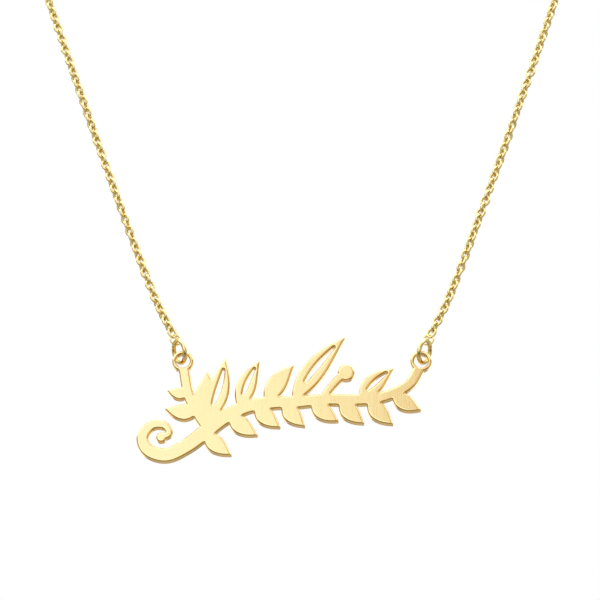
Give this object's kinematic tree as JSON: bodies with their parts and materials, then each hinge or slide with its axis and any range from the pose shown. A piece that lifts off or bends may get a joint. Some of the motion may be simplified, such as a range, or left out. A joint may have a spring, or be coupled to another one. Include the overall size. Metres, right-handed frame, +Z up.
{
  "type": "nameplate necklace",
  "caption": "Fine cable-chain necklace whose pierced leafy-scroll plate hangs from two jump rings, closed by a round spring clasp at the nape.",
  "frame": {"origin": "the nape: the middle of the closed clasp's ring, where the worn necklace lies on the back of the neck", "axes": "+Z up, -Y to the front where the plate faces, +X to the right seen from the front"},
  "size_m": [0.1012, 0.1033, 0.1488],
  "materials": {
    "plate_gold": "gold plated, polished",
    "wire_gold": "gold plated, bright"
  },
  "bodies": {
    "chain": {"chain_left": "wire_gold", "chain_right": "wire_gold", "clasp": "wire_gold", "catch_ring": "wire_gold"},
    "pendant": {"nameplate": "plate_gold", "jump_ring_left": "wire_gold", "jump_ring_right": "wire_gold"}
  },
  "joints": [
    {"name": "nameplate_swing", "type": "hinge", "parent": "chain", "child": "pendant", "pos_m": [0, -0.1, -0.12964], "axis": [1, 0, 0], "range_deg": [-35, 35]}
  ]
}
